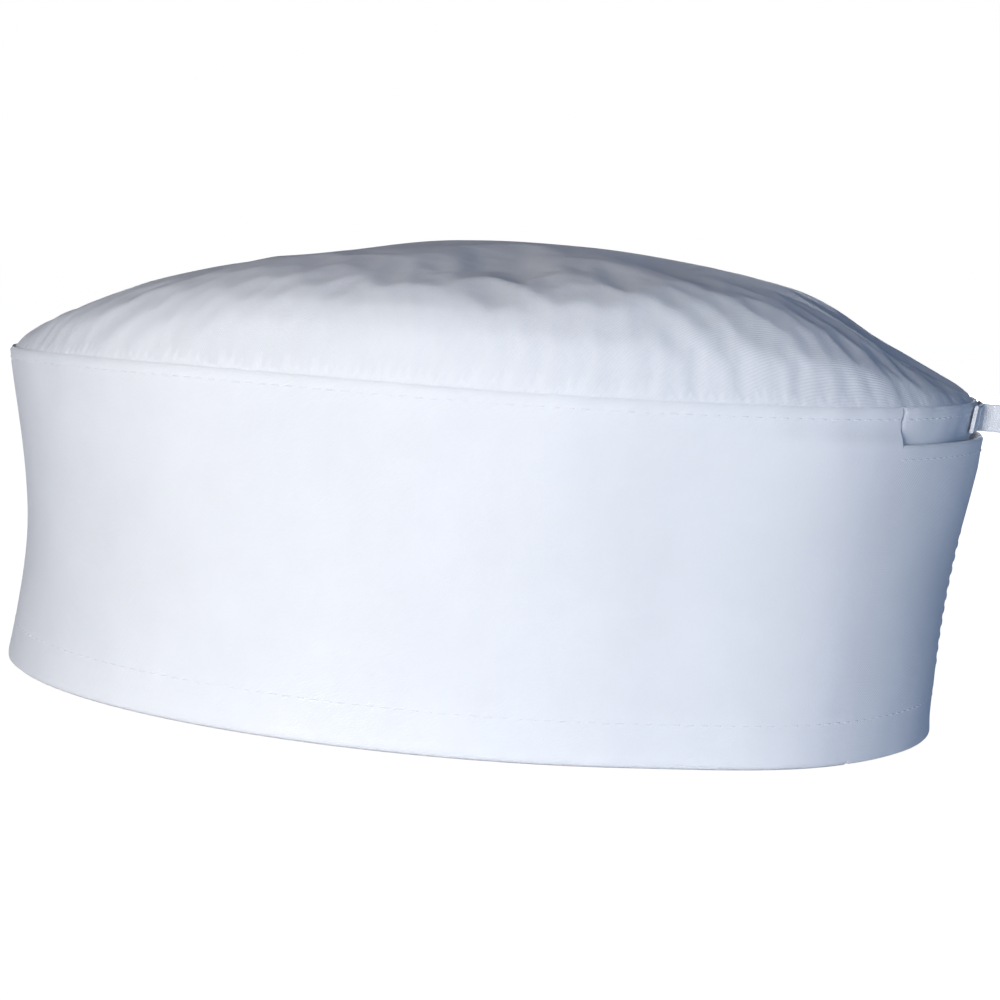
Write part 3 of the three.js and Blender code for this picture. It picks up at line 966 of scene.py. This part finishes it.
def tab_stitching():
    path = frame_path((TAB_ROOT, TAB_END - 2), (HEM_LINE, TAB_TOP - 3 * MM), 0, 5 * MM, closed=False)
    piece = stitches("tab_stitches", [wall_row(*path, FACE, tab_shift)])
    dress(piece, "thread", "tab_stitching")
    bend_at_root(piece)


def patch(name, slot, node, angles, outs, shift, body, rests_on):
    profile = rounded_edge(outs[1], outs[0], 3)
    piece = plate(name, angles, PATCH_HEIGHTS, profile, shift, (3 * MM, 3 * MM))
    dress(piece, slot, node)
    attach(piece, body)
    flat = (PATCH_HEIGHTS[1] - PATCH_HEIGHTS[0], float(arc(angles[1]) - arc(angles[0])))
    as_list(rests_on)


def patch_stitching(name, node, angles, faces, shift, body):
    """The box of stitches that holds a patch, seen on each of the two faces that it goes through."""
    path = frame_path(angles, PATCH_HEIGHTS, PATCH_INSET, 1 * MM)
    rows = [wall_row(*path, out, shift, inside) for out, inside in faces]
    piece = stitches(name, rows)
    dress(piece, "thread", node)
    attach(piece, body)


def hook_field():
    """Rows of small nylon hooks that stand in from the hook patch's ground."""
    low, high = (float(arc(angle)) for angle in HOOK_PATCH)
    across = np.arange(low + HOOK_MARGIN, high - HOOK_MARGIN, HOOK_SPACING[0])
    up = np.arange(PATCH_HEIGHTS[0] + HOOK_MARGIN, PATCH_HEIGHTS[1] - HOOK_MARGIN, HOOK_SPACING[1])
    points, faces = [], []
    rings = len(HOOK_RISE)
    one = grid_faces(rings, 4, True) + [(3, 2, 1, 0), tuple(4 * (rings - 1) + k for k in range(4))]
    for i, row in enumerate(up):
        for distance in across:
            facing = 1 if i % 2 else -1
            base = len(points)
            for r, c, g in zip(HOOK_RISE, HOOK_CURL, HOOK_GIRTH):
                for dx, dy in ((g, 0), (0, g), (-g, 0), (0, -g)):
                    points.append((distance + facing * c + dx, row + dy, HOOK_GROUND[0] - r))
            faces += [tuple(base + k for k in face[::-1]) for face in one]
    distance, height, out = np.array(points).T
    angle = angle_at(distance)
    piece = make_object("hooks", wall(angle, height, out + tab_shift(angle, height)), faces)
    dress(piece, "hook_tape", "hook_patch")
    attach(piece, "closure_tab")


def closure():
    tab_cloths()
    tab_stitching()
    on_band, on_tab = (root_shift, "cap"), (tab_shift, "closure_tab")
    patch("loop_pile", "loop_pile", "loop_patch", LOOP_PATCH, LOOP_PILE, *on_band, "band_shell")
    patch("hook_ground", "hook_tape", "hook_patch", HOOK_PATCH, HOOK_GROUND, *on_tab, "tab_facing")
    hook_field()
    faces = [(LOOP_PILE[1], False), (LINING[0], True)]
    patch_stitching("loop_patch_stitches", "loop_patch_stitching", LOOP_PATCH, faces, *on_band)
    faces = [(FACE, False), (HOOK_GROUND[0], True)]
    patch_stitching("hook_patch_stitches", "hook_patch_stitching", HOOK_PATCH, faces, *on_tab)


# ---------------------------------------------------------------- the hanging loop

TAPE = 0.8 * MM
LOOP_LOW, LOOP_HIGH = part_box("hanging_loop")
LOOP_MIDDLE = (LOOP_LOW.z + LOOP_HIGH.z) / 2
LOOP_RISE = BACK_RISE * LOOP_MIDDLE
LOOP_ROOT = LOOP_LOW.y
FOOT_OUT = FACE + 1.5 * MM
EYE_RADIUS = 4.6 * MM
NECK = 0.5 * MM
TURN_RADIUS = 1.0 * MM
TAPE_STEP = 0.5 * MM
FEET = (-7, -1.6)  # the angles of one foot's end and root
TWIST = 0.10  # how far the loop's two sides lean apart at its tip, as a slope
DROOP = 2.2 * MM  # of the loop's tip
TACK_ANGLE = 4
TACK_SPACING = 0.36 * MM
TACK_SLANT = 0.2 * MM
TACK_LENGTH = 2.5 * MM
TACK_RADIUS = 0.17 * MM


def loop_plan():
    """The middle line of the tape in plan, from the end of one foot round the eye to the other."""
    foot_y = wall(0, LOOP_MIDDLE, FOOT_OUT)[1]
    foot = [tuple(wall(angle, LOOP_MIDDLE, FOOT_OUT)[:2]) for angle in np.linspace(*FEET, 8)]
    turn = bow((NECK + TURN_RADIUS, foot_y + TURN_RADIUS), TURN_RADIUS, -90, -180, 7)
    eye = (0, LOOP_HIGH.y - TAPE / 2 - EYE_RADIUS)
    lean = math.degrees(math.asin((EYE_RADIUS - NECK) / (eye[1] - LOOP_ROOT)))
    half = foot + turn + bow(eye, EYE_RADIUS, -lean, 90, 15)
    return resample(half + [(-x, y) for x, y in half[-2::-1]], TAPE_STEP)


def loop_tape():
    """The whole tape, on edge: its feet lie on the band and its loop hangs a little."""
    plan = loop_plan()
    along = np.gradient(plan, axis=0)
    along /= np.linalg.norm(along, axis=1)[:, None]
    side = np.stack([along[:, 1], -along[:, 0]], axis=1)
    half = (LOOP_HIGH.z - LOOP_LOW.z) / 2
    section = ribbon(resample([(0, half - TAPE / 2), (0, TAPE / 2 - half)], TAPE_STEP), TAPE)
    reach = np.clip((plan[:, 1] - LOOP_ROOT) / (LOOP_HIGH.y - LOOP_ROOT), 0, 1)
    slope = (FLARE + LEAN) / BAND_HEIGHT * (1 - smoothstep(plan[:, 1], LOOP_ROOT, LOOP_ROOT + 8 * MM))
    upright = section[:, 1][None, :]
    across = section[:, 0][None, :] + upright * TWIST * reach[:, None] * np.sign(plan[:, :1])
    x = plan[:, :1] + side[:, :1] * across
    y = plan[:, 1:] + side[:, 1:] * across + slope[:, None] * upright
    z = LOOP_MIDDLE + LOOP_RISE + upright - DROOP * reach[:, None] ** 2
    rows, columns = x.shape
    faces = grid_faces(rows, columns, True)
    faces.append(tuple(range(columns))[::-1])
    faces.append(tuple((rows - 1) * columns + j for j in range(columns)))
    distance = np.arange(rows)[:, None] * TAPE_STEP
    around = np.broadcast_to(upright, x.shape)
    uvs = np.stack([distance + 0 * around, around], axis=-1)
    piece = make_object("loop_tape", np.stack([x, y, z], axis=-1), faces, uvs)
    dress(piece, "tape", "hanging_loop", "hanging_loop_foot_left", "hanging_loop_foot_right")
    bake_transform(piece)


def bar_tack(name, node, side):
    """A bar of close stitches through one foot of the loop."""
    rows = []
    middle, half = float(arc(TACK_ANGLE * side)), 1.3 * MM
    for height in np.arange(LOOP_LOW.z + 0.8 * MM, LOOP_HIGH.z - 0.7 * MM, TACK_SPACING):
        ends, heights = [middle - half, middle + half], [height, height + TACK_SLANT]
        rows.append(wall_row(ends, heights, FOOT_OUT + TAPE / 2, lambda angle, height: 0 * angle))
    piece = stitches(name, rows, pitch=TACK_LENGTH, length=TACK_LENGTH, radius=TACK_RADIUS)
    dress(piece, "thread", node)
    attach(piece, "cap")


def hanging_loop():
    loop_tape()
    bar_tack("bar_tack_left", "foot_tack_left", -1)
    bar_tack("bar_tack_right", "foot_tack_right", 1)


# ---------------------------------------------------------------- inside the cap

SWEATBAND = (35, 325)
SWEATBAND_HEIGHTS = (3 * MM, 33 * MM)
SWEATBAND_LINES = (5.5 * MM, 31 * MM)
TERRY = (-2.1 * MM, -0.9 * MM)
BINDING_HEIGHTS = (BAND_HEIGHT - 10 * MM, BAND_HEIGHT - 1 * MM)
BINDING = (-1.1 * MM, -0.4 * MM)
BINDING_START = -2
BINDING_LAP = 6  # degrees by which the binding's end laps over its start, at the back
BINDING_STEP = 0.75 * MM  # how far its end steps in to do so
LABEL_ANGLES = (54.5, 69.5)
LABEL_PLY = (-0.85 * MM, -0.6 * MM)
LABEL_HANG = 0.5 * MM  # how far its lower end stands off the band
LABEL_CURL = 1.4 * MM  # and how much further it curls
LABEL_LOW, LABEL_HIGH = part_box("care_label")


def inner_strip(name, angles, heights, outs, shift, slot, node):
    middle, ply = (outs[0] + outs[1]) / 2, outs[1] - outs[0]
    path = resample([(middle, heights[1] - ply / 2), (middle, heights[0] + ply / 2)], 1.2 * MM)
    piece = sweep(name, angles, ribbon(path, ply), shift)
    dress(piece, slot, node)
    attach(piece, "cap")
    return piece


def sweatband():
    angles = np.arange(SWEATBAND[0], SWEATBAND[1] + 0.1, 1.0)
    strip = inner_strip(
        "towelling", angles, SWEATBAND_HEIGHTS, TERRY, band_shape, "sweatband_terry", "sweatband"
    )
    length = float(arc(SWEATBAND[1]) - arc(SWEATBAND[0]))
    ends = [float(arc(angle)) for angle in SWEATBAND]
    rows = [wall_row(ends, height, TERRY[0], band_shape, True) for height in SWEATBAND_LINES]
    piece = stitches("sweatband_stitches", rows)
    dress(piece, "thread", "sweatband_stitching")
    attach(piece, "cap")


def binding_shift(angle, height):
    """The end of the binding steps in over its start."""
    return band_shape(angle, height) - BINDING_STEP * smoothstep(angle, 352, 356)


def binding():
    angles = np.arange(BINDING_START, 360 + BINDING_START + BINDING_LAP + 0.1, 1.0)
    inner_strip(
        "seam_binding", angles, BINDING_HEIGHTS, BINDING, binding_shift, "tape", "crown_seam_binding"
    )
    ends = [float(arc(BINDING_START + 1)), float(arc(359 + BINDING_START + BINDING_LAP))]
    row = wall_row(ends, BINDING_HEIGHTS[0] + 1.2 * MM, BINDING[0], binding_shift, True)
    piece = stitches("binding_stitches", [row])
    dress(piece, "thread", "crown_seam_binding")
    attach(piece, "cap")


def label_shift(angle, height):
    """The label hangs off the binding, and its lower end curls a little into the cap."""
    curl = np.clip((LABEL_HIGH.z - height) / (LABEL_HIGH.z - LABEL_LOW.z), 0, 1)
    return band_shape(angle, height) - LABEL_HANG * curl - LABEL_CURL * curl**4


def care_label():
    outs = rounded_edge(LABEL_PLY[1], LABEL_PLY[0], 1)
    heights = (LABEL_LOW.z, LABEL_HIGH.z)
    piece = plate("satin_label", LABEL_ANGLES, heights, outs, label_shift, (0.3 * MM, 0.3 * MM), rings=18)
    dress(piece, "label_satin", "care_label")
    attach(piece, "care_label")
    width = float(arc(LABEL_ANGLES[1]) - arc(LABEL_ANGLES[0]))


make_camera()
make_studio()
crown()
band_shell()
band_layers()
band_stitching()
closure()
hanging_loop()
sweatband()
binding()
care_label()

sizes = {"cad": cad_box, "visual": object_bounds()}
{name: [list(corner) for corner in box] for name, box in sizes.items()}
